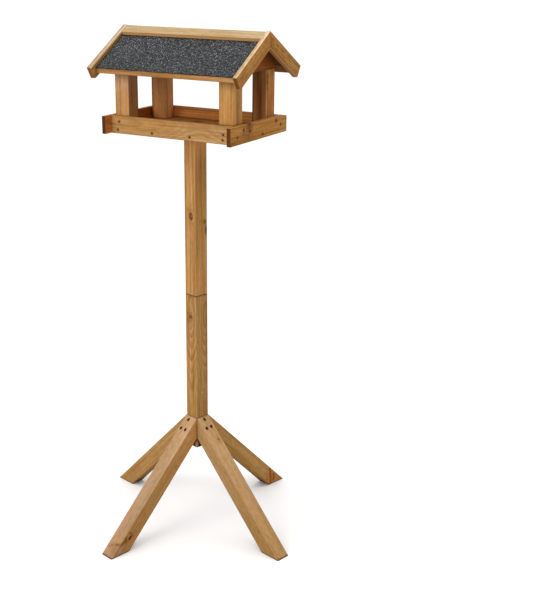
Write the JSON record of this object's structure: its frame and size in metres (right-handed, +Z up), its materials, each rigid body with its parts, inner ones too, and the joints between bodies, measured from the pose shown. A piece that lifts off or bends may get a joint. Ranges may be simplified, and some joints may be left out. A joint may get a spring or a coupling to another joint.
{
  "type": "bird table",
  "caption": "Free-standing wooden bird table: square post on splayed legs, railed feeding tray on corner posts under a felted gable roof.",
  "frame": {"origin": "on the ground under the middle of the post", "axes": "+Z up; X along the ridge and the tray's long side; -Y is the front, the side that the front of the roof faces. The post and legs stand turned 14.86 degrees clockwise, seen from above, from the tray."},
  "size_m": [0.724, 0.724, 1.4989],
  "materials": {
    "stained_softwood": "golden brown outdoor stain on sawn and planed softwood, satin, grain and knots showing",
    "mineral_felt": "matt charcoal roofing felt with fine light and dark mineral granules",
    "fixings": "darkened steel nails and screws",
    "beech_dowel": "plain unfinished hardwood"
  },
  "bodies": {
    "root": {"back_eave_rail": "stained_softwood", "back_left_bargeboard": "stained_softwood", "back_left_corner_post": "stained_softwood", "back_left_leg": "stained_softwood", "back_left_leg_screw_1": "fixings", "back_left_leg_screw_2": "fixings", "back_left_leg_screw_3": "fixings", "back_nail_post_l": "fixings", "back_nail_post_r": "fixings", "back_rail": "stained_softwood", "back_ridge_board": "stained_softwood", "back_right_bargeboard": "stained_softwood", "back_right_corner_post": "stained_softwood", "back_right_leg": "stained_softwood", "back_right_leg_screw_1": "fixings", "back_right_leg_screw_2": "fixings", "back_right_leg_screw_3": "fixings", "back_roof_panel": "stained_softwood", "front_eave_rail": "stained_softwood", "front_left_bargeboard": "stained_softwood", "front_left_corner_post": "stained_softwood", "front_left_leg": "stained_softwood", "front_left_leg_screw_1": "fixings", "front_left_leg_screw_2": "fixings", "front_left_leg_screw_3": "fixings", "front_nail_floor_1": "fixings", "front_nail_floor_2": "fixings", "front_nail_floor_3": "fixings", "front_nail_floor_4": "fixings", "front_nail_post_l": "fixings", "front_nail_post_r": "fixings", "front_rail": "stained_softwood", "front_ridge_board": "stained_softwood", "front_right_bargeboard": "stained_softwood", "front_right_corner_post": "stained_softwood", "front_right_leg": "stained_softwood", "front_right_leg_screw_1": "fixings", "front_right_leg_screw_2": "fixings", "front_right_leg_screw_3": "fixings", "front_roof_panel": "stained_softwood", "head_coach_screw": "fixings", "head_washer": "fixings", "left_end_rail": "stained_softwood", "left_gable_board": "stained_softwood", "left_nail_post_1": "fixings", "left_nail_post_2": "fixings", "left_nail_rail_1": "fixings", "left_nail_rail_2": "fixings", "lower_post": "stained_softwood", "post_dowel": "beech_dowel", "right_end_rail": "stained_softwood", "right_gable_board": "stained_softwood", "right_nail_floor": "fixings", "right_nail_post_1": "fixings", "right_nail_post_2": "fixings", "right_nail_rail_1": "fixings", "right_nail_rail_2": "fixings", "roof_felt": "mineral_felt", "tray_floor": "stained_softwood", "upper_post": "stained_softwood"}
  },
  "joints": []
}
